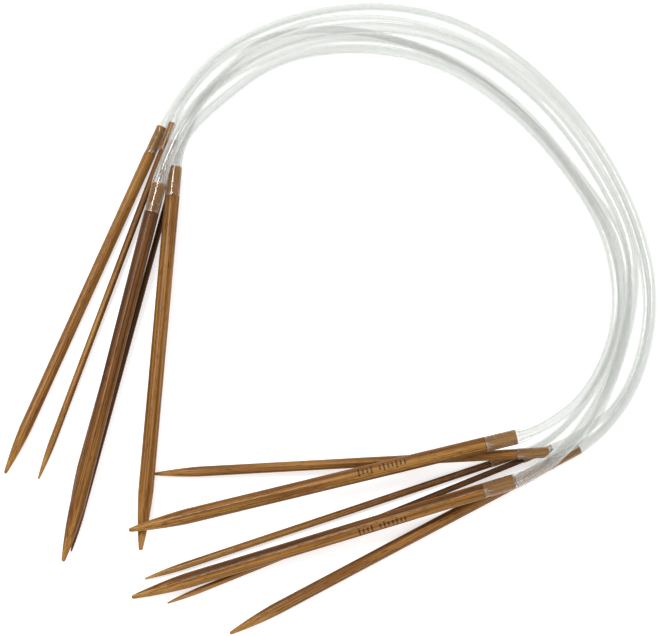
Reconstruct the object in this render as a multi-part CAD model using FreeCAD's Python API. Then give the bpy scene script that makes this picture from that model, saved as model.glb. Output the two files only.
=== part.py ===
import FreeCAD, Part
import math
import os
from FreeCAD import Vector

# A nested set of six circular knitting needles, lying flat on a table, in millimetres.
# X runs to the right, Y away from the viewer and Z up; the table is z = 0.
# Each needle is two turned bamboo tips and one hollow clear tube.  The tube's ends are
# stretched over a thinner spigot turned on each tip, so that tube and shank are flush.

SPIGOT_LENGTH = 7.8         # the end of a tip that the tube is pushed over
LEAD = 14.2                 # the tube's first and last runs, straight out of the tip
ARC_SHARE = 0.45            # how much of the shorter run each arc of a tube takes
FIT_CLEARANCE = 0.03        # radial, between a spigot and the sleeve stretched over it
FACE_CLEARANCE = 0.05       # between a sleeve's end and the tip's shoulder
POINT_SHARE = 0.14          # radius of the blunt point over the needle's diameter
BULGE_SHARE = 0.11          # how far the taper bulges past a straight cone, over the diameter
EDGE_BREAK = 0.15           # chamfer on the spigot's end

# name: tip length from point to spigot end, taper length, then the needle's, spigot's,
# sleeve's, tube's outside and bore's diameters
SIZES = {
    "needle_3_0": dict(
        tip=97.0, taper=12.5, needle=3.0, spigot=2.15, sleeve=2.68, tube=2.5, bore=1.7
    ),
    "needle_1_5": dict(
        tip=101.5, taper=8.5, needle=1.5, spigot=1.15, sleeve=1.95, tube=1.9, bore=1.15
    ),
    "needle_1_75": dict(
        tip=97.0, taper=9.5, needle=1.75, spigot=1.35, sleeve=2.05, tube=2.0, bore=1.3
    ),
    "needle_2_5": dict(
        tip=97.0, taper=11.0, needle=2.5, spigot=1.9, sleeve=2.7, tube=2.5, bore=1.7
    ),
    "needle_3_75_lower": dict(
        tip=97.0, taper=14.5, needle=3.75, spigot=2.7, sleeve=3.75, tube=2.9, bore=2.1
    ),
    "needle_3_75_upper": dict(
        tip=97.0, taper=14.5, needle=3.75, spigot=2.7, sleeve=3.75, tube=3.2, bore=2.4
    ),
}

# Where each tip's shoulder is, which way the tube leaves it (degrees from +X) and how
# steeply it climbs that way (degrees), then the tube's route between the two leads.
PLACES = {
    "needle_3_0": dict(
        right=(63.7, -23.1, 1.5, 28.1, 0.0),
        left=(-36.4, 56.6, 1.5, 67.5, 0.0),
        route=[(86.4, -2.0, 1.4), (90.9, 19.5, 1.3), (86.5, 41.2, 1.3), (76.4, 61.8, 1.3),
               (61.7, 79.7, 1.3), (43.1, 93.1, 1.3), (20.9, 97.7, 1.3), (-1.3, 94.1, 1.3),
               (-20.0, 84.5, 1.4)],
    ),
    "needle_1_5": dict(
        right=(56.6, -22.5, 2.4, 22.0, 1.1),
        left=(-31.5, 46.0, 1.0, 76.2, 0.1),
        route=[(82.2, -7.9, 3.8), (89.1, 14.4, 3.7), (85.7, 37.4, 3.5), (75.6, 58.8, 3.2),
               (60.7, 77.5, 3.0), (40.3, 90.1, 2.7), (17.4, 94.7, 1.9), (-6.0, 90.1, 1.2),
               (-22.8, 74.4, 1.2)],
    ),
    "needle_1_75": dict(
        right=(48.7, -23.3, 1.1, 18.6, 0.1),
        left=(-33.2, 57.2, 2.65, 70.9, 1.2),
        route=[(73.7, -7.1, 1.1), (82.1, 11.1, 1.1), (81.9, 32.6, 1.1), (71.2, 51.9, 1.1),
               (58.3, 68.2, 1.1), (41.9, 81.6, 1.1), (21.9, 89.1, 2.4), (1.2, 89.9, 3.8),
               (-16.8, 83.8, 3.2)],
    ),
    "needle_2_5": dict(
        right=(55.0, -21.6, 4.9, 2.7, 2.6),
        left=(-32.2, 52.0, 4.0, 75.7, 1.9),
        route=[(77.4, -8.3, 6.3), (83.5, 12.9, 4.7), (83.0, 34.4, 3.4), (70.6, 52.3, 3.6),
               (57.8, 69.0, 3.6), (41.0, 81.4, 4.4), (21.4, 87.5, 4.9), (1.1, 85.5, 4.8),
               (-16.7, 76.5, 4.6)],
    ),
    "needle_3_75_lower": dict(
        right=(47.1, -19.8, 7.9, 13.4, 2.0),
        left=(-30.3, 43.9, 5.95, 85.8, 2.3),
        route=[(73.5, -6.3, 6.9), (81.1, 12.7, 5.5), (79.0, 33.7, 5.9), (68.2, 52.4, 6.4),
               (54.4, 67.8, 6.8), (37.7, 79.1, 7.2), (18.0, 83.4, 7.4), (-3.5, 81.0, 7.3),
               (-19.0, 69.0, 6.6)],
    ),
    "needle_3_75_upper": dict(
        right=(46.5, -31.2, 7.5, 16.4, 3.9),
        left=(-35.2, 38.8, 8.6, 76.8, 3.5),
        route=[(73.0, -14.2, 9.1), (82.4, 6.5, 8.5), (85.5, 30.1, 7.2), (75.7, 52.6, 5.8),
               (61.7, 72.3, 4.5), (41.6, 86.7, 5.1), (17.9, 89.6, 7.6), (-6.5, 83.9, 9.4),
               (-23.6, 69.1, 9.9)],
    ),
}


def leaving(place):
    """The shoulder's centre and the unit vector along which the tube leaves it."""
    x, y, z, heading, climb = place
    flat = math.cos(math.radians(climb))
    way = Vector(
        flat * math.cos(math.radians(heading)),
        flat * math.sin(math.radians(heading)),
        math.sin(math.radians(climb)),
    )
    return Vector(x, y, z), way


def tip(size, place):
    """One bamboo tip: blunt point, bulging taper, shank and spigot, turned about its axis."""
    shoulder, way = leaving(place)
    radius = size["needle"] / 2
    nose = POINT_SHARE * size["needle"]
    spigot = size["spigot"] / 2
    diagonal = nose * math.sqrt(0.5)
    shank = size["tip"] - SPIGOT_LENGTH
    half = (nose + size["taper"]) / 2
    bulge = (nose + radius) / 2 + BULGE_SHARE * size["needle"] / 2
    outline = [
        Part.Arc(
            Vector(0, 0, 0),
            Vector(nose - diagonal, diagonal, 0),
            Vector(nose, nose, 0),
        ),
        Part.Arc(
            Vector(nose, nose, 0),
            Vector(half, bulge, 0),
            Vector(size["taper"], radius, 0),
        ),
    ]
    corners = [
        Vector(size["taper"], radius, 0),
        Vector(shank, radius, 0),
        Vector(shank, spigot, 0),
        Vector(size["tip"] - EDGE_BREAK, spigot, 0),
        Vector(size["tip"], spigot - EDGE_BREAK, 0),
        Vector(size["tip"], 0, 0),
        Vector(0, 0, 0),
    ]
    outline += [Part.LineSegment(a, b) for a, b in zip(corners, corners[1:])]
    face = Part.Face(Part.Wire([curve.toShape() for curve in outline]))
    solid = face.revolve(Vector(0, 0, 0), Vector(1, 0, 0), 360)
    turn = FreeCAD.Rotation(Vector(1, 0, 0), way)
    solid.Placement = FreeCAD.Placement(shoulder - way * shank, turn)
    return solid


def route_points(place):
    """The tube's route: shoulder, lead, the points between, lead, shoulder."""
    start, out = leaving(place["right"])
    end, back = leaving(place["left"])
    between = [Vector(*point) for point in place["route"]]
    return [start, start + out * LEAD] + between + [end + back * LEAD, end]


def rounded_path(points):
    """Straight runs joined by tangent arcs, with the arcs' radii and the path's length."""
    edges = []
    radii = []
    at = points[0]
    for before, corner, after in zip(points, points[1:], points[2:]):
        back = (before - corner).normalize()
        on = (after - corner).normalize()
        half_turn = (math.pi - back.getAngle(on)) / 2
        reach = ARC_SHARE * min((before - corner).Length, (after - corner).Length)
        radius = reach / math.tan(half_turn)
        first = corner + back * reach
        last = corner + on * reach
        inward = (back + on).normalize()
        middle = corner + inward * (radius / math.cos(half_turn) - radius)
        edges.append(Part.LineSegment(at, first))
        edges.append(Part.Arc(first, middle, last))
        radii.append(radius)
        at = last
    edges.append(Part.LineSegment(at, points[-1]))
    wire = Part.Wire([edge.toShape() for edge in edges])
    return wire, radii


def swept(wire, start, way, radius):
    """A round bar of the given radius along the path."""
    ring = Part.Wire([Part.makeCircle(radius, start, way)])
    return wire.makePipeShell([ring], True, False)


def tube(name, size, place):
    """The hollow tube: a pipe along its route, with a wider sleeve on each spigot."""
    points = route_points(place)
    wire, radii = rounded_path(points)
    start, way = leaving(place["right"])
    outer = swept(wire, start, way, size["tube"] / 2)
    inner = swept(wire, start, way, size["bore"] / 2)
    expected = math.pi * (size["tube"] / 2) ** 2 * wire.Length
    print(
        name,
        "length %.1f" % wire.Length,
        "radii %.1f to %.1f" % (min(radii), max(radii)),
        "volume / (section x length) %.4f" % (outer.Volume / expected),
    )
    body = outer
    bores = [inner]
    for side in ("right", "left"):
        shoulder, way = leaving(place[side])
        body = body.fuse(Part.makeCylinder(size["sleeve"] / 2, SPIGOT_LENGTH, shoulder, way))
        bores.append(
            Part.makeCylinder(
                size["spigot"] / 2 + FIT_CLEARANCE,
                SPIGOT_LENGTH + FACE_CLEARANCE,
                shoulder,
                way,
            )
        )
        bores.append(Part.makeCylinder(size["sleeve"], FACE_CLEARANCE, shoulder, way))
    for bore in bores:
        body = body.cut(bore)
    return body.removeSplitter()


def main():
    os.makedirs("parts", exist_ok=True)
    for name, size in SIZES.items():
        place = PLACES[name]
        shapes = {
            name + "_right_tip": tip(size, place["right"]),
            name + "_left_tip": tip(size, place["left"]),
            name + "_tube": tube(name, size, place),
        }
        for node, shape in shapes.items():
            if not shape.isValid() or len(shape.Solids) != 1:
                raise ValueError("%s is not one valid solid" % node)
            shape.Solids[0].exportStep("parts/%s.step" % node)


main()
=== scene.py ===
import math
import random

import bpy
from mathutils import Matrix, Vector


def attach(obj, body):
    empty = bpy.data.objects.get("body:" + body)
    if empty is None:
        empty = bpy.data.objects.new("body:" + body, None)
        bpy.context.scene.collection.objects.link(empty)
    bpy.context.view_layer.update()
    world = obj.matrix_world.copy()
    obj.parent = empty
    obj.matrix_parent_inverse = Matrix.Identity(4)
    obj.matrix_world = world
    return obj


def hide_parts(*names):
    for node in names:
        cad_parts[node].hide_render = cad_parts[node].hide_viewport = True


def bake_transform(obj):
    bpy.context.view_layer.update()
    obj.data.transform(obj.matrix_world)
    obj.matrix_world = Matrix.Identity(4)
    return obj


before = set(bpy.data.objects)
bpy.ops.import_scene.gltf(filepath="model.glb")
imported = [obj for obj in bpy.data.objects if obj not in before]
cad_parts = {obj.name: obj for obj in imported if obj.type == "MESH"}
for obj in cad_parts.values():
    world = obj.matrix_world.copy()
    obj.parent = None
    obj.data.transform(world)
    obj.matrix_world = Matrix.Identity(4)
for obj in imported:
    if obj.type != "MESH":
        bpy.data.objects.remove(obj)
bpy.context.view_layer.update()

# A nested set of six circular knitting needles: bamboo tips joined by hollow clear tubes.
# Lengths are in millimetres here and become metres where a mesh is written.
MM = 0.001

SPIGOT_LENGTH = 7.8         # the end of a tip that the tube is pushed over
LEAD = 14.2                 # the tube's first and last runs, straight out of the tip
STRAIGHT_SHARE = 0.1        # a point this far along a lead keeps the tube straight on its spigot
POINT_SHARE = 0.14          # radius of the blunt point over the needle's diameter
BULGE_SHARE = 0.11          # how far the taper bulges past a straight cone, over the diameter

# Tip length from point to spigot end, taper length, then the needle's, spigot's, sleeve's,
# tube's outside and bore's diameters, and the length of the tube's smooth line.
SIZES = {
    "needle_3_0": dict(tip=97.0, taper=12.5, needle=3.0, spigot=2.15, sleeve=2.9,
                       tube=2.5, bore=1.7, line=241.2),
    "needle_1_5": dict(tip=101.5, taper=8.5, needle=1.5, spigot=1.15, sleeve=1.95,
                       tube=1.9, bore=1.15, line=244.7),
    "needle_1_75": dict(tip=97.0, taper=9.5, needle=1.75, spigot=1.35, sleeve=2.05,
                        tube=2.0, bore=1.3, line=226.5),
    "needle_2_5": dict(tip=97.0, taper=11.0, needle=2.5, spigot=1.9, sleeve=2.7,
                       tube=2.5, bore=1.7, line=223.9),
    "needle_3_75_lower": dict(tip=97.0, taper=14.5, needle=3.75, spigot=2.7, sleeve=3.75,
                              tube=2.9, bore=2.1, line=221.8),
    "needle_3_75_upper": dict(tip=97.0, taper=14.5, needle=3.75, spigot=2.7, sleeve=3.75,
                              tube=3.2, bore=2.4, line=253.7),
}

# Each tip's shoulder, the way its tube leaves it and how steeply that climbs (degrees),
# then the tube's route between the two leads.
PLACES = {
    "needle_3_0": dict(
        right=(63.7, -23.1, 1.5, 28.1, 0.0),
        left=(-36.4, 56.6, 1.5, 67.5, 0.0),
        route=[(86.4, -2.0, 1.4), (90.9, 19.5, 1.3), (86.5, 41.2, 1.3), (76.4, 61.8, 1.3),
               (61.7, 79.7, 1.3), (43.1, 93.1, 1.3), (20.9, 97.7, 1.3), (-1.3, 94.1, 1.3),
               (-20.0, 84.5, 1.4)],
    ),
    "needle_1_5": dict(
        right=(56.6, -22.5, 2.4, 22.0, 1.1),
        left=(-31.5, 46.0, 1.0, 76.2, 0.1),
        route=[(82.2, -7.9, 3.8), (89.1, 14.4, 3.7), (85.7, 37.4, 3.5), (75.6, 58.8, 3.2),
               (60.7, 77.5, 3.0), (40.3, 90.1, 2.7), (17.4, 94.7, 1.9), (-6.0, 90.1, 1.2),
               (-22.8, 74.4, 1.2)],
    ),
    "needle_1_75": dict(
        right=(48.7, -23.3, 1.1, 18.6, 0.1),
        left=(-33.2, 57.2, 2.65, 70.9, 1.2),
        route=[(73.7, -7.1, 1.1), (82.1, 11.1, 1.1), (81.9, 32.6, 1.1), (71.2, 51.9, 1.1),
               (58.3, 68.2, 1.1), (41.9, 81.6, 1.1), (21.9, 89.1, 2.4), (1.2, 89.9, 3.8),
               (-16.8, 83.8, 3.2)],
    ),
    "needle_2_5": dict(
        right=(55.0, -21.6, 4.9, 2.7, 2.6),
        left=(-32.2, 52.0, 4.0, 75.7, 1.9),
        route=[(77.4, -8.3, 6.3), (83.5, 12.9, 4.7), (83.0, 34.4, 3.4), (70.6, 52.3, 3.6),
               (57.8, 69.0, 3.6), (41.0, 81.4, 4.4), (21.4, 87.5, 4.9), (1.1, 85.5, 4.8),
               (-16.7, 76.5, 4.6)],
    ),
    "needle_3_75_lower": dict(
        right=(47.1, -19.8, 7.9, 13.4, 2.0),
        left=(-30.3, 43.9, 5.95, 85.8, 2.3),
        route=[(73.5, -6.3, 6.9), (81.1, 12.7, 5.5), (79.0, 33.7, 5.9), (68.2, 52.4, 6.4),
               (54.4, 67.8, 6.8), (37.7, 79.1, 7.2), (18.0, 83.4, 7.4), (-3.5, 81.0, 7.3),
               (-19.0, 69.0, 6.6)],
    ),
    "needle_3_75_upper": dict(
        right=(46.5, -31.2, 7.5, 16.4, 3.9),
        left=(-35.2, 38.8, 8.6, 76.8, 3.5),
        route=[(73.0, -14.2, 9.1), (82.4, 6.5, 8.5), (85.5, 30.1, 7.2), (75.7, 52.6, 5.8),
               (61.7, 72.3, 4.5), (41.6, 86.7, 5.1), (17.9, 89.6, 7.6), (-6.5, 83.9, 9.4),
               (-23.6, 69.1, 9.9)],
    ),
}

# How each tip's bamboo looks.  Two straight fibre lines part a shank into three zones.  A
# line is fixed to the wood; its place is a share of the width of the shank's front, counted
# from the +Y edge of a right tip and from the -X edge of a left tip.  tones are the zones'
# darkness from 0 to 1, partly the wood's own tone and partly painted shade: darker on the
# side the light misses, and dark all over on tips that lie in shade under others.  far is
# the painted shade added towards the shoulder, glints how bright the painted highlight along
# each line is, and ticks the place of the printed size ticks.
BAMBOO = {
    "needle_3_0_right_tip": dict(lines=(0.20, 0.72), tones=(0.80, 0.58, 0.56), far=0.0,
                                 glints=(0.0, 0.45), ticks=None),
    "needle_3_0_left_tip": dict(lines=(0.12, 0.55), tones=(0.66, 0.52, 0.56), far=0.04,
                                glints=(0.10, 0.10), ticks=None),
    "needle_1_5_right_tip": dict(lines=(0.35, 0.80), tones=(0.66, 0.45, 0.45), far=0.62,
                                 glints=(0.0, 0.15), ticks=None),
    "needle_1_5_left_tip": dict(lines=(0.30, 0.70), tones=(0.80, 0.86, 0.88), far=0.20,
                                glints=(0.0, 0.0), ticks=None),
    "needle_1_75_right_tip": dict(lines=(0.28, 0.58), tones=(0.68, 0.40, 0.34), far=0.42,
                                  glints=(0.25, 0.35), ticks=None),
    "needle_1_75_left_tip": dict(lines=(0.15, 0.78), tones=(0.60, 0.50, 0.80), far=0.16,
                                 glints=(0.10, 0.0), ticks=None),
    "needle_2_5_right_tip": dict(lines=(0.30, 0.76), tones=(0.62, 0.52, 0.54), far=0.0,
                                 glints=(0.10, 0.15), ticks=None),
    "needle_2_5_left_tip": dict(lines=(0.30, 0.65), tones=(0.72, 0.80, 0.90), far=0.0,
                                glints=(0.0, 0.0), ticks=None),
    "needle_3_75_lower_right_tip": dict(lines=(0.38, 0.77), tones=(0.62, 0.50, 0.60), far=0.0,
                                        glints=(0.45, 0.60), ticks=0.33),
    "needle_3_75_lower_left_tip": dict(lines=(0.30, 0.62), tones=(0.50, 0.56, 0.62), far=0.05,
                                       glints=(0.10, 0.05), ticks=None),
    "needle_3_75_upper_right_tip": dict(lines=(0.38, 0.80), tones=(0.80, 0.46, 0.44), far=0.05,
                                        glints=(0.60, 0.10), ticks=0.72),
    "needle_3_75_upper_left_tip": dict(lines=(0.34, 0.70), tones=(0.72, 0.54, 0.64), far=0.34,
                                       glints=(0.0, 0.05), ticks=None),
}
GLINT_WIDTH = 0.15          # half the width of a painted highlight along a zone line
TICKS_FROM = 57.0           # where the size ticks start, from the point
TICK_PITCH = 1.05
TICK_COUNT = 12
TICK_GAP = 4                # the tick that is left out, between the two groups
TICK_REACH = (0.62, 0.95)   # half the height of a short tick and of a tall one

TIP_SEGMENTS = 64
NOSE_RINGS = 8
TAPER_RINGS = 28
SHANK_RINGS = 60
SPIGOT_RINGS = 11
SHOULDER_EDGE = 0.07        # the rounding of a shank's back edge
ROUND_SHARE = 0.3           # how much of that rounding its middle point takes
SHOULDER_CORNER = 0.02      # the fillet's length between a shoulder and its spigot
EDGE_BREAK = 0.15           # chamfer on a spigot's end
SANDING = 0.0022            # how uneven hand sanding leaves the radius, as a share of it
SANDING_WAVES = 7

TUBE_SEGMENTS = 48
RINGS_PER_RUN = 20
FIT_CLEARANCE = 0.03        # radial, between a spigot and the sleeve stretched over it
SLEEVE_FADE = 5.0           # how far past the spigot a sleeve narrows to the tube
BORE_FADE = 2.4             # how far past the spigot its hole narrows to the tube's bore

# The way the set's front is turned: up, and a little towards -Y.
ELEVATION = math.radians(75.5)
FRONT = Vector((0, -math.cos(ELEVATION), math.sin(ELEVATION)))

AIM = Vector((9.0, 14.0, 0.0))      # what the camera looks at
CAMERA_DISTANCE = 625.0
LENS = 136.8
SENSOR = 36.0
HORIZON_LIGHT = 0.50
OVERHEAD_LIGHT = 0.82
OVERHEAD_FROM = 0.55                # the height in the sky where it reaches its full light
LAMP_AIM = Vector((0.01, 0.015, 0.0))   # metres
# name, place and side in metres, power in watts
LAMPS = [
    ("key", (-0.20, 0.22, 0.72), 0.22, 3.4),
    ("fill", (0.35, -0.45, 0.70), 0.60, 0.6),
]
BOUNCES = 32                        # a ray crosses many of the tubes' walls
FLOOR_HALF = 2.5                    # metres
FLOOR_DROP = 0.00003                # metres; keeps the floor off the pieces that lie on it


def leaving(place):
    """The shoulder's centre and the unit vector along which the tube leaves it."""
    x, y, z, heading, climb = place
    flat = math.cos(math.radians(climb))
    way = Vector((
        flat * math.cos(math.radians(heading)),
        flat * math.sin(math.radians(heading)),
        math.sin(math.radians(climb)),
    ))
    return Vector((x, y, z)), way


def crosswise(way):
    """The level vector across a way and the one at right angles to both."""
    side = Vector((0, 0, 1)).cross(way).normalized()
    return side, way.cross(side)


def smooth(t):
    """A soft step from 0 to 1."""
    t = max(0.0, min(1.0, t))
    return t * t * (3 - 2 * t)


# ---------------------------------------------------------------- camera, light, floor

def camera():
    """A long lens high above the set, a little in front of it."""
    data = bpy.data.cameras.new("camera")
    data.lens = LENS
    data.sensor_width = SENSOR
    data.clip_start = 0.01
    data.clip_end = 20.0
    thing = bpy.data.objects.new("camera", data)
    bpy.context.collection.objects.link(thing)
    thing.location = AIM * MM + FRONT * CAMERA_DISTANCE * MM
    thing.rotation_euler = (math.radians(90) - ELEVATION, 0, 0)
    bpy.context.scene.camera = thing


def lamp(name, place, size, watts):
    """A square soft light that faces the middle of the set."""
    data = bpy.data.lights.new(name, "AREA")
    data.shape = "SQUARE"
    data.size = size
    data.energy = watts
    thing = bpy.data.objects.new(name, data)
    thing.location = place
    aim = LAMP_AIM - thing.location
    thing.rotation_euler = aim.to_track_quat("-Z", "Y").to_euler()
    bpy.context.collection.objects.link(thing)


def lights():
    """A pale studio: bright overhead, greyer towards the horizon, with two soft lamps."""
    world = bpy.data.worlds.new("world")
    world.use_nodes = True
    tree = world.node_tree
    sky = tree.nodes["Background"]
    sky.inputs["Color"].default_value = (1.0, 1.0, 1.0, 1.0)
    place = tree.nodes.new("ShaderNodeTexCoord")
    split = tree.nodes.new("ShaderNodeSeparateXYZ")
    rise = tree.nodes.new("ShaderNodeMapRange")
    rise.interpolation_type = "SMOOTHSTEP"
    rise.inputs["From Min"].default_value = 0.0
    rise.inputs["From Max"].default_value = OVERHEAD_FROM
    rise.inputs["To Min"].default_value = HORIZON_LIGHT
    rise.inputs["To Max"].default_value = OVERHEAD_LIGHT
    tree.links.new(place.outputs["Generated"], split.inputs[0])
    tree.links.new(split.outputs["Z"], rise.inputs["Value"])
    tree.links.new(rise.outputs["Result"], sky.inputs["Strength"])
    bpy.context.scene.world = world
    for name, place, size, watts in LAMPS:
        lamp(name, place, size, watts)


def floor():
    """A matt white table that gives off a little light, so that shadows on it stay faint."""
    half = FLOOR_HALF
    mesh = bpy.data.meshes.new("floor")
    mesh.from_pydata(
        [(-half, -half, 0), (half, -half, 0), (half, half, 0), (-half, half, 0)],
        [], [(0, 1, 2, 3)],
    )
    thing = bpy.data.objects.new("floor", mesh)
    thing.location.z = -FLOOR_DROP
    bpy.context.collection.objects.link(thing)
    paper = bpy.data.materials.new("floor")
    paper.use_nodes = True
    shader = paper.node_tree.nodes["Principled BSDF"]
    shader.inputs["Base Color"].default_value = (0.78, 0.78, 0.78, 1.0)
    shader.inputs["Roughness"].default_value = 0.9
    shader.inputs["Specular IOR Level"].default_value = 0.1
    shader.inputs["Emission Color"].default_value = (1.0, 1.0, 1.0, 1.0)
    shader.inputs["Emission Strength"].default_value = 0.55
    mesh.materials.append(paper)


# ---------------------------------------------------------------- materials

class Nodes:
    """Short calls for building one material's nodes."""

    def __init__(self, name):
        self.material = bpy.data.materials.new(name)
        self.material.use_nodes = True
        self.tree = self.material.node_tree
        self.shader = self.tree.nodes["Principled BSDF"]
        self.output = self.tree.nodes["Material Output"]

    def new(self, kind, **settings):
        node = self.tree.nodes.new(kind)
        for key, value in settings.items():
            setattr(node, key, value)
        return node

    def link(self, out, into):
        self.tree.links.new(out, into)

    def put(self, value, into):
        if isinstance(value, (int, float)):
            into.default_value = value
        elif isinstance(value, tuple):
            into.default_value = value
        else:
            self.link(value, into)

    def math(self, operation, a, b=0.0, clamp=False):
        node = self.new("ShaderNodeMath", operation=operation, use_clamp=clamp)
        self.put(a, node.inputs[0])
        self.put(b, node.inputs[1])
        return node.outputs[0]

    def scaled(self, vector, scale):
        node = self.new("ShaderNodeVectorMath", operation="MULTIPLY")
        self.put(vector, node.inputs[0])
        node.inputs[1].default_value = scale
        return node.outputs[0]

    def noise(self, vector, scale, detail=2.0, rough=0.5, shift=0.0):
        node = self.new("ShaderNodeTexNoise", noise_dimensions="4D")
        self.put(vector, node.inputs["Vector"])
        node.inputs["W"].default_value = shift
        node.inputs["Scale"].default_value = scale
        node.inputs["Detail"].default_value = detail
        node.inputs["Roughness"].default_value = rough
        return node.outputs["Fac"]

    def ranged(self, value, low, high, to_low=0.0, to_high=1.0):
        node = self.new("ShaderNodeMapRange", interpolation_type="SMOOTHSTEP")
        self.put(value, node.inputs["Value"])
        node.inputs["From Min"].default_value = low
        node.inputs["From Max"].default_value = high
        node.inputs["To Min"].default_value = to_low
        node.inputs["To Max"].default_value = to_high
        return node.outputs["Result"]

    def mix(self, share, a, b):
        node = self.new("ShaderNodeMix", data_type="RGBA", clamp_factor=True)
        self.put(share, node.inputs[0])
        self.put(a, node.inputs[6])
        self.put(b, node.inputs[7])
        return node.outputs[2]

    def bump(self, height, strength, distance):
        node = self.new("ShaderNodeBump")
        node.inputs["Strength"].default_value = strength
        node.inputs["Distance"].default_value = distance
        self.put(height, node.inputs["Height"])
        self.link(node.outputs["Normal"], self.shader.inputs["Normal"])

    def same(self, a, b):
        """1 where a and b are the same whole number."""
        node = self.new("ShaderNodeMath", operation="COMPARE")
        self.put(a, node.inputs[0])
        self.put(b, node.inputs[1])
        node.inputs[2].default_value = 0.1
        return node.outputs[0]

    def attribute(self, name):
        return self.new("ShaderNodeAttribute", attribute_name=name).outputs["Vector"]

    def split(self, vector):
        node = self.new("ShaderNodeSeparateXYZ")
        self.link(vector, node.inputs[0])
        return node.outputs[0], node.outputs[1], node.outputs[2]


# The noises in the wood: how the tip's space is squeezed along it and across, the scale,
# detail and roughness there, and what is added to the tip's own seed.
WOOD_NOISES = [
    ((0.010, 1.0, 1.0), 3.6, 3.0, 0.62, 0.0),   # threads: the fine fibres
    ((0.014, 1.0, 1.0), 1.5, 2.0, 0.5, 7.3),    # strands: broad bundles of them
    ((0.12, 1.0, 1.0), 4.2, 1.0, 0.4, 3.1),     # dashes: short dark pores
    ((0.045, 0.5, 0.5), 1.0, 2.0, 0.5, 11.9),   # clouds: slow changes along the tip
    ((0.03, 0.0, 0.0), 1.0, 1.0, 0.5, 5.7),     # sway: how the zones' lines wander
]
THREAD_DEPTH = 1.35         # what each noise adds to the darkness
STRAND_DEPTH = 0.75
CLOUD_DEPTH = 0.30
DASH_DEPTH = 0.24
SWAY_REACH = 0.5            # how far the lines wander
POINT_LIFT = 0.16           # how much lighter the sanded point is

BAMBOO_PALE = (0.410, 0.228, 0.078, 1.0)
BAMBOO_GOLD = (0.298, 0.137, 0.026, 1.0)
BAMBOO_BROWN = (0.140, 0.050, 0.006, 1.0)
BAMBOO_DARK = (0.035, 0.011, 0.002, 1.0)
# The spigot's paler colour: raw wood, with painted light added.
BAMBOO_RAW_PAINTED_LIGHT = (0.440, 0.225, 0.055, 1.0)
# The colour of the painted highlight along the zone lines.
GLINT = (0.560, 0.370, 0.165, 1.0)
INK = (0.020, 0.012, 0.008, 1.0)


def front_edge(way):
    """The angle about a tip's axis of the edge of its front that shares are counted from."""
    side, up = crosswise(way)
    return math.atan2(-FRONT.dot(side), FRONT.dot(up))


def tick_mask(n, x, y, z, facing):
    """1 on the printed size ticks: two groups of short bars across the shank."""
    across = n.math("SUBTRACT", n.math("MULTIPLY", y, math.sin(facing)),
                    n.math("MULTIPLY", z, math.cos(facing)))
    front = n.math("ADD", n.math("MULTIPLY", y, math.cos(facing)),
                   n.math("MULTIPLY", z, math.sin(facing)))
    steps = n.math("DIVIDE", n.math("SUBTRACT", x, TICKS_FROM), TICK_PITCH)
    count = n.math("FLOOR", steps)
    short, tall = TICK_REACH
    is_tall = n.same(n.math("MODULO", count, 3.0), 0.0)
    reach = n.math("ADD", n.math("MULTIPLY", is_tall, tall - short), short)
    from_middle = n.math("ABSOLUTE", n.math("SUBTRACT", n.math("FRACT", steps), 0.5))
    bar = n.ranged(from_middle, 0.15, 0.22, 1.0, 0.0)
    height = n.ranged(n.math("SUBTRACT", n.math("ABSOLUTE", across), reach), -0.05, 0.05, 1.0, 0.0)
    within = n.math("MULTIPLY", n.math("GREATER_THAN", steps, 0.0),
                    n.math("LESS_THAN", steps, float(TICK_COUNT)))
    within = n.math("MULTIPLY", within, n.math("SUBTRACT", 1.0, n.same(count, float(TICK_GAP))))
    mask = n.math("MULTIPLY", n.math("MULTIPLY", bar, height), within)
    return n.math("MULTIPLY", mask, n.math("GREATER_THAN", front, 0.0))


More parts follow.
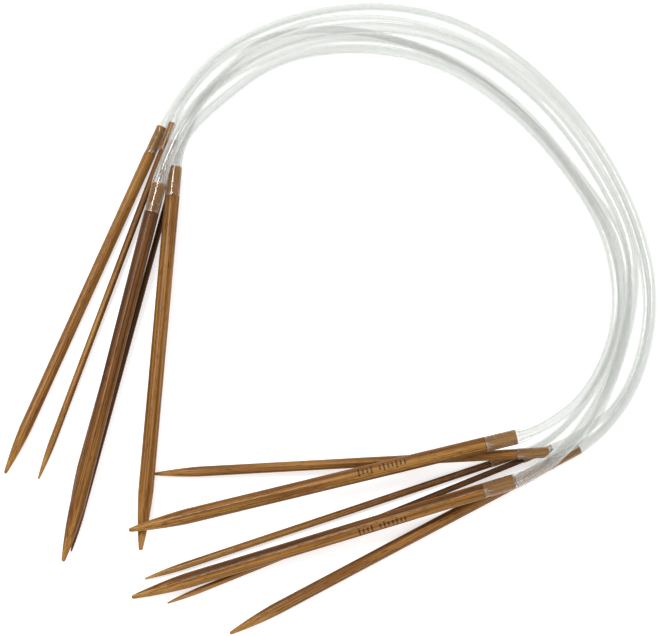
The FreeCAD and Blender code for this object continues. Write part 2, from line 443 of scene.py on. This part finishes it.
def bamboo(name, size, look, way, seed):
    """Waxed, heat-darkened bamboo, with painted shade and highlights: fibres run through it along
    the tip's own axis.
    """
    n = Nodes(name)
    radius = size["needle"] / 2
    shank = size["tip"] - SPIGOT_LENGTH
    place = n.attribute("grain")
    x, y, z = n.split(place)
    threads, strands, dashes, clouds, sway = (
        n.noise(n.scaled(place, squeeze), scale, detail, rough, seed + shift)
        for squeeze, scale, detail, rough, shift in WOOD_NOISES
    )

    edge = front_edge(way)
    toward = n.math("ADD", n.math("MULTIPLY", y, math.cos(edge)),
                    n.math("MULTIPLY", z, math.sin(edge)))
    toward = n.math("ADD", toward, n.math("MULTIPLY", n.math("SUBTRACT", sway, 0.5), SWAY_REACH))
    frontal = n.math("SUBTRACT", n.math("MULTIPLY", z, math.cos(edge)),
                     n.math("MULTIPLY", y, math.sin(edge)))
    first, second = ((0.5 - share) * 2 * radius for share in look["lines"])
    soft = 0.14 * radius + 0.04
    # The zones' tones are partly the wood's own and partly painted shade, darker on the side the
    # light misses.
    past_first = n.ranged(toward, first - soft, first + soft, 1.0, 0.0)
    past_second = n.ranged(toward, second - soft, second + soft, 1.0, 0.0)
    before, between, after = look["tones"]
    tone = n.math("ADD", n.math("MULTIPLY", past_first, between - before), before)
    tone = n.math("ADD", tone, n.math("MULTIPLY", past_second, after - between))
    tone = n.math("ADD", tone, n.math("MULTIPLY", n.math("SUBTRACT", threads, 0.5), THREAD_DEPTH))
    tone = n.math("ADD", tone, n.math("MULTIPLY", n.math("SUBTRACT", strands, 0.5), STRAND_DEPTH))
    tone = n.math("ADD", tone, n.math("MULTIPLY", n.math("SUBTRACT", clouds, 0.5), CLOUD_DEPTH))
    tone = n.math("ADD", tone, n.ranged(dashes, 0.58, 0.70, 0.0, DASH_DEPTH))
    # Painted shade: darker towards the shoulder, where the tip lies in shade under its neighbours.
    tone = n.math("ADD", tone, n.ranged(x, 0.2 * shank, shank, 0.0, look["far"]))
    tone = n.math("ADD", tone, n.ranged(x, 0.0, size["taper"] * 1.3, -POINT_LIFT, 0.0), clamp=True)

    colour = n.mix(n.ranged(tone, 0.05, 0.40), BAMBOO_PALE, BAMBOO_GOLD)
    colour = n.mix(n.ranged(tone, 0.36, 0.74), colour, BAMBOO_BROWN)
    colour = n.mix(n.ranged(tone, 0.72, 1.10), colour, BAMBOO_DARK)
    # Painted highlight: a pale, dotted line along each zone line, on the shank's front face only.
    dotted = n.ranged(dashes, 0.40, 0.60, 0.10, 1.0)
    for spot, glint in zip((first, second), look["glints"]):
        off = n.math("ABSOLUTE", n.math("SUBTRACT", toward, spot))
        line = n.ranged(off, 0.0, GLINT_WIDTH, glint, 0.0)
        line = n.math("MULTIPLY", n.math("MULTIPLY", line, dotted), n.ranged(frontal, -0.1, 0.1))
        colour = n.mix(line, colour, GLINT)
    if look["ticks"] is not None:
        facing = edge + math.acos(1 - 2 * look["ticks"])
        fade = n.ranged(threads, 0.32, 0.52, 0.55, 0.95)
        ink = n.math("MULTIPLY", tick_mask(n, x, y, z, facing), fade)
        colour = n.mix(ink, colour, INK)
    # The spigot is paler: the raw, unwaxed wood there, and painted light that makes up for the
    # light the sleeve over it holds back.
    raw_wood_and_painted_light = n.ranged(x, shank, shank + 0.05, 0.0, 0.50)
    colour = n.mix(raw_wood_and_painted_light, colour, BAMBOO_RAW_PAINTED_LIGHT)
    # Painted shadow in the step between shank and spigot, over the darker end grain there.
    shadow = n.ranged(n.math("ABSOLUTE", n.math("SUBTRACT", x, shank)), 0.0, 0.16, 0.85, 0.0)
    colour = n.mix(shadow, colour, BAMBOO_DARK)
    n.link(colour, n.shader.inputs["Base Color"])

    dry = n.ranged(x, shank - 0.2, shank, 0.0, 0.22)
    rough = n.math("ADD", n.ranged(threads, 0.3, 0.7, 0.40, 0.56), dry)
    n.link(rough, n.shader.inputs["Roughness"])
    n.shader.inputs["Specular IOR Level"].default_value = 0.15
    n.shader.inputs["Coat Weight"].default_value = 0.09
    n.shader.inputs["Coat Roughness"].default_value = 0.11
    ridges = n.math("SUBTRACT", threads, n.ranged(dashes, 0.60, 0.72, 0.0, 0.35))
    n.bump(ridges, 0.5, 0.00005)
    return n.material


def clear_plastic():
    """The tube's wall.  Most light goes straight through and is only tinted; the wall's own
    haze and gloss take the rest, in streaks, and more of it where the wall is seen edge on."""
    n = Nodes("clear_plastic")
    place = n.attribute("grain")
    streaks = n.noise(n.scaled(place, (0.010, 1.0, 1.0)), 0.75, 1.0, 0.4, 21.0)
    rim = n.new("ShaderNodeLayerWeight")
    rim.inputs["Blend"].default_value = 0.5
    edge_on = n.ranged(rim.outputs["Facing"], 0.25, 0.80, 0.0, 0.36)
    share = n.math("ADD", n.ranged(streaks, 0.32, 0.68, 0.07, 0.24), edge_on)
    through = n.new("ShaderNodeBsdfTransparent")
    through.inputs["Color"].default_value = (0.918, 0.923, 0.916, 1.0)
    blend = n.new("ShaderNodeMixShader")
    n.link(share, blend.inputs[0])
    n.link(through.outputs[0], blend.inputs[1])
    n.link(n.shader.outputs[0], blend.inputs[2])
    n.link(blend.outputs[0], n.output.inputs["Surface"])
    n.shader.inputs["Base Color"].default_value = (0.69, 0.70, 0.685, 1.0)
    n.shader.inputs["Transmission Weight"].default_value = 0.12
    n.shader.inputs["IOR"].default_value = 1.45
    n.shader.inputs["Specular IOR Level"].default_value = 1.0
    n.shader.inputs["Roughness"].default_value = 0.06
    n.shader.inputs["Coat Weight"].default_value = 1.0
    n.shader.inputs["Coat IOR"].default_value = 2.2
    n.shader.inputs["Coat Roughness"].default_value = 0.04
    return n.material


def clear_sleeve():
    """The tube's wall stretched over a spigot and stuck to it, so that it acts as a lens."""
    n = Nodes("clear_sleeve")
    n.shader.inputs["Base Color"].default_value = (0.985, 0.985, 0.975, 1.0)
    n.shader.inputs["Transmission Weight"].default_value = 1.0
    n.shader.inputs["IOR"].default_value = 1.42
    n.shader.inputs["Roughness"].default_value = 0.03
    return n.material


def clear_glue():
    """The film that fills the gap between spigot and sleeve, with pale specks that are partly glue
    and partly painted highlight, most at the step and at the spigot's end.
    """
    n = Nodes("clear_glue")
    place = n.attribute("grain")
    x, _, _ = n.split(place)
    specks_and_highlights = n.noise(n.scaled(place, (0.24, 1.0, 1.0)), 2.3, 3.0, 0.65, 4.0)
    # Painted highlight with the glue: the pale specks gather at the step and at the spigot's end.
    from_step = n.ranged(x, 0.0, 2.6, 0.13, 0.0)
    from_end = n.ranged(x, SPIGOT_LENGTH - 0.5, SPIGOT_LENGTH, 0.0, 0.10)
    level = n.math("ADD", n.math("ADD", specks_and_highlights, from_step), from_end)
    clear = n.new("ShaderNodeBsdfTransparent")
    blend = n.new("ShaderNodeMixShader")
    n.link(n.ranged(level, 0.60, 0.74, 0.0, 0.55), blend.inputs[0])
    n.link(clear.outputs[0], blend.inputs[1])
    n.link(n.shader.outputs[0], blend.inputs[2])
    n.link(blend.outputs[0], n.output.inputs["Surface"])
    n.shader.inputs["Base Color"].default_value = (0.86, 0.80, 0.68, 1.0)
    n.shader.inputs["Roughness"].default_value = 0.35
    return n.material


# ---------------------------------------------------------------- meshes

def piece(name, rings, poles, materials, grain, slots=None):
    """A closed mesh of rings of points in millimetres, skinned ring to ring.

    poles are the points that close the first ring and the last, or None where the last
    ring joins the first.  grain holds each point's place in the material's own space, in
    the rings' order and then the poles'."""
    count = len(rings[0])
    points = [p for ring in rings for p in ring]
    faces = []
    face_slots = []
    closed = poles is None
    last = len(rings) if closed else len(rings) - 1
    for i in range(last):
        here = i * count
        there = (i + 1) % len(rings) * count
        for k in range(count):
            j = (k + 1) % count
            faces.append((here + k, here + j, there + j, there + k))
            face_slots.append(slots[i] if slots else 0)
    if not closed:
        first, final = len(points), len(points) + 1
        points += poles
        here = (len(rings) - 1) * count
        for k in range(count):
            j = (k + 1) % count
            faces.append((first, j, k))
            faces.append((final, here + k, here + j))
            face_slots += [0, 0]
    mesh = bpy.data.meshes.new(name)
    mesh.from_pydata([Vector(p) * MM for p in points], [], faces)
    mesh.polygons.foreach_set("material_index", face_slots)
    mesh.shade_smooth()
    spot = mesh.attributes.new("grain", "FLOAT_VECTOR", "POINT")
    spot.data.foreach_set("vector", [c for p in grain for c in p])
    for material in materials:
        mesh.materials.append(material)
    thing = bpy.data.objects.new(name, mesh)
    bpy.context.collection.objects.link(thing)
    return thing


def outline(size):
    """A tip's outline: distance from the point and radius, from the point to the spigot's end."""
    radius = size["needle"] / 2
    nose = POINT_SHARE * size["needle"]
    bulge = BULGE_SHARE * size["needle"] / 2
    spigot = size["spigot"] / 2
    steps = []
    for i in range(1, NOSE_RINGS + 1):
        turn = math.pi / 2 * i / NOSE_RINGS
        steps.append((nose - nose * math.cos(turn), nose * math.sin(turn)))
    for i in range(1, TAPER_RINGS + 1):
        t = i / TAPER_RINGS
        steps.append((
            nose + (size["taper"] - nose) * t,
            nose + (radius - nose) * t + 4 * bulge * t * (1 - t),
        ))
    shoulder = size["tip"] - SPIGOT_LENGTH
    shank = shoulder - size["taper"]
    for i in range(1, SHANK_RINGS):
        steps.append((size["taper"] + shank * i / SHANK_RINGS, radius))
    rounding = SHOULDER_EDGE * ROUND_SHARE
    steps.append((shoulder - SHOULDER_EDGE, radius))
    steps.append((shoulder - rounding, radius - rounding))
    steps.append((shoulder, radius - SHOULDER_EDGE))
    steps.append((shoulder, spigot + SHOULDER_EDGE))
    steps.append((shoulder + SHOULDER_CORNER, spigot))
    for i in range(1, SPIGOT_RINGS + 1):
        steps.append((shoulder + (SPIGOT_LENGTH - EDGE_BREAK) * i / SPIGOT_RINGS, spigot))
    steps.append((size["tip"], spigot - EDGE_BREAK))
    return steps


def tip(name, size, place, look, seed):
    """One bamboo tip, turned about its axis, with the small unevenness of hand sanding."""
    rand = random.Random(seed)
    waves = [
        (rand.uniform(0.05, 0.35), rand.randint(0, 3), rand.uniform(0, 6.28))
        for _ in range(SANDING_WAVES)
    ]
    shoulder, way = leaving(place)
    side, up = crosswise(way)
    start = shoulder - way * (size["tip"] - SPIGOT_LENGTH)
    rings = []
    grain = []
    for x, radius in outline(size):
        ring = []
        for k in range(TIP_SEGMENTS):
            turn = 2 * math.pi * k / TIP_SEGMENTS
            uneven = sum(math.sin(f * x + lobes * turn + phase) for f, lobes, phase in waves)
            r = radius * (1 - SANDING * abs(uneven))
            y, z = r * math.cos(turn), r * math.sin(turn)
            ring.append(start + way * x + side * y + up * z)
            grain.append((x, y, z))
        rings.append(ring)
    poles = [start, start + way * size["tip"]]
    grain += [(0.0, 0.0, 0.0), (size["tip"], 0.0, 0.0)]
    material = bamboo(name, size, look, way, seed * 3.7)
    thing = piece(name + "_bamboo", rings, poles, [material], grain)
    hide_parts(name)
    return thing


def route_points(place):
    """The tube's route: shoulder, straight lead, the points between, lead, shoulder."""
    start, out = leaving(place["right"])
    end, back = leaving(place["left"])
    first = [start, start + out * LEAD * STRAIGHT_SHARE, start + out * LEAD]
    last = [end + back * LEAD, end + back * LEAD * STRAIGHT_SHARE, end]
    return first + [Vector(point) for point in place["route"]] + last


def centreline(name, points):
    """The tube's smooth line: the points read from the route's NURBS spline."""
    data = bpy.data.curves.new(name, "CURVE")
    data.dimensions = "3D"
    spline = data.splines.new("NURBS")
    spline.points.add(len(points) - 1)
    for spot, point in zip(spline.points, points):
        spot.co = (*point, 1.0)
    spline.order_u = 3
    spline.use_endpoint_u = True
    spline.resolution_u = RINGS_PER_RUN
    curve = bpy.data.objects.new(name, data)
    mesh = bpy.data.meshes.new_from_object(curve)
    line = [v.co.copy() for v in mesh.vertices]
    bpy.data.objects.remove(curve)
    bpy.data.meshes.remove(mesh)
    return line


def frames(line):
    """A way and two crosswise vectors at each point of a line, turned with no twist."""
    ways = []
    for i, point in enumerate(line):
        before = line[max(i - 1, 0)]
        after = line[min(i + 1, len(line) - 1)]
        ways.append((after - before).normalized())
    side = Vector((0, 0, 1)).cross(ways[0]).normalized()
    found = []
    for i, way in enumerate(ways):
        side = (side - way * side.dot(way)).normalized()
        found.append((way, side, way.cross(side)))
    return found


def tube(name, size, place, materials):
    """The hollow tube, stretched over both spigots and glued there.

    materials are the plain wall's, the stretched sleeve's and the glue film's."""
    line = centreline(name, route_points(place))
    lengths = [0.0]
    for a, b in zip(line, line[1:]):
        lengths.append(lengths[-1] + (b - a).length)
    whole = lengths[-1]
    outer, inner, grain_out, grain_in, glued = [], [], [], [], []
    for point, along, (way, side, up) in zip(line, lengths, frames(line)):
        from_end = min(along, whole - along)
        past = smooth((from_end - SPIGOT_LENGTH) / SLEEVE_FADE)
        neck = smooth((from_end - SPIGOT_LENGTH) / BORE_FADE)
        wall = size["sleeve"] + (size["tube"] - size["sleeve"]) * past
        wide = size["spigot"] + 2 * FIT_CLEARANCE
        hole = wide + (size["bore"] - wide) * neck
        for radius, rings, spots in ((wall / 2, outer, grain_out), (hole / 2, inner, grain_in)):
            turns = [2 * math.pi * k / TUBE_SEGMENTS for k in range(TUBE_SEGMENTS)]
            flat = [(radius * math.cos(turn), radius * math.sin(turn)) for turn in turns]
            rings.append([point + side * y + up * z for y, z in flat])
            spots.append([(from_end, y, z) for y, z in flat])
        glued.append(from_end < SPIGOT_LENGTH)
    skin = outer + inner[::-1]
    grain = [spot for ring in grain_out + grain_in[::-1] for spot in ring]
    slots = [1 if g else 0 for g in glued] + [2 if g else 0 for g in reversed(glued)]
    thing = piece(name + "_clear", skin, None, materials, grain, slots)
    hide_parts(name + "_tube")
    return thing


def needles():
    """The six needles, each riding its two bodies, with its tube running between them."""
    materials = [clear_plastic(), clear_sleeve(), clear_glue()]
    for number, (needle, size) in enumerate(SIZES.items()):
        place = PLACES[needle]
        for which, side in enumerate(("right", "left")):
            node = needle + "_" + side + "_tip"
            made = tip(node, size, place[side], BAMBOO[node], 2 * number + which + 1)
            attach(made, needle + "_" + side)
        clear = tube(needle, size, place, materials)
        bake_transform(clear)


camera()
lights()
floor()
needles()

cycles = bpy.context.scene.cycles
cycles.max_bounces = BOUNCES
cycles.transmission_bounces = BOUNCES
cycles.transparent_max_bounces = BOUNCES
bpy.context.scene.view_settings.view_transform = "Standard"
